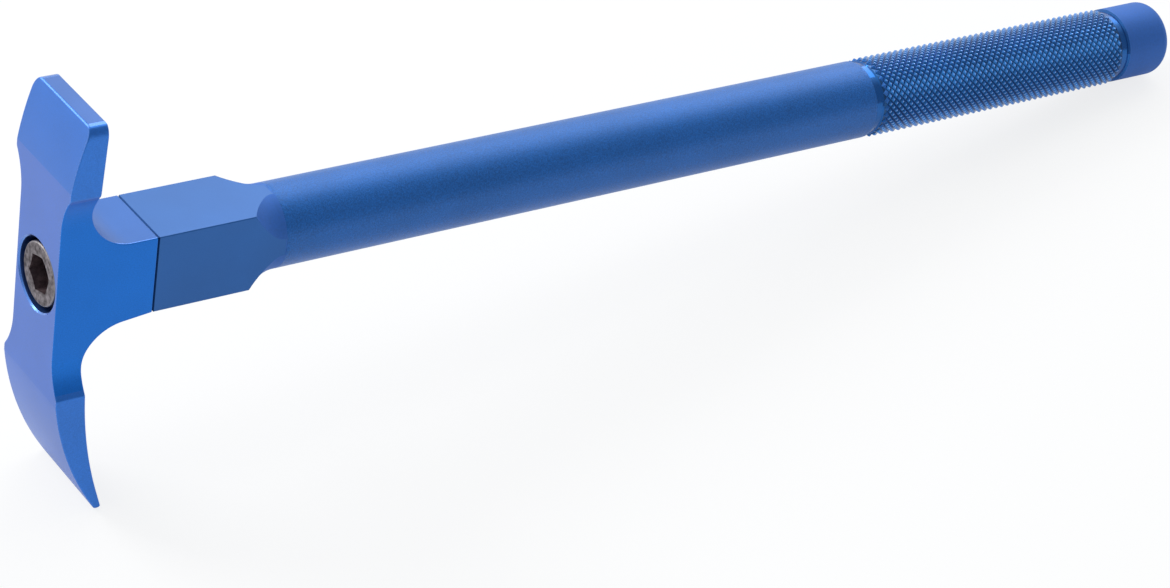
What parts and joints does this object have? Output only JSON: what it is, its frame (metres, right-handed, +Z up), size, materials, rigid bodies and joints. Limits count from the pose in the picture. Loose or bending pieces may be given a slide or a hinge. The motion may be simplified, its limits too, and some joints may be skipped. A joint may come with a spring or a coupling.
{
  "type": "seal puller",
  "caption": "Hand seal puller: a two-ended claw head bolted to a square shank on a round bar handle with a diamond-knurled grip, for prying oil seals out of their bores.",
  "frame": {"origin": "middle of the box on the surface that the tool lies on", "axes": "+Z up, +X along the tool as seen from above, from the claw head towards the butt, Y across the claws; the handle slopes down towards the butt"},
  "size_m": [0.3225, 0.0248, 0.0966],
  "materials": {
    "handle_anodise": "bead-blasted blue anodising",
    "head_anodise": "fine satin blue anodising",
    "screw_oxide": "worn black oxide"
  },
  "bodies": {
    "root": {"handle": "handle_anodise", "puller_head": "head_anodise", "head_screw": "screw_oxide"}
  },
  "joints": []
}
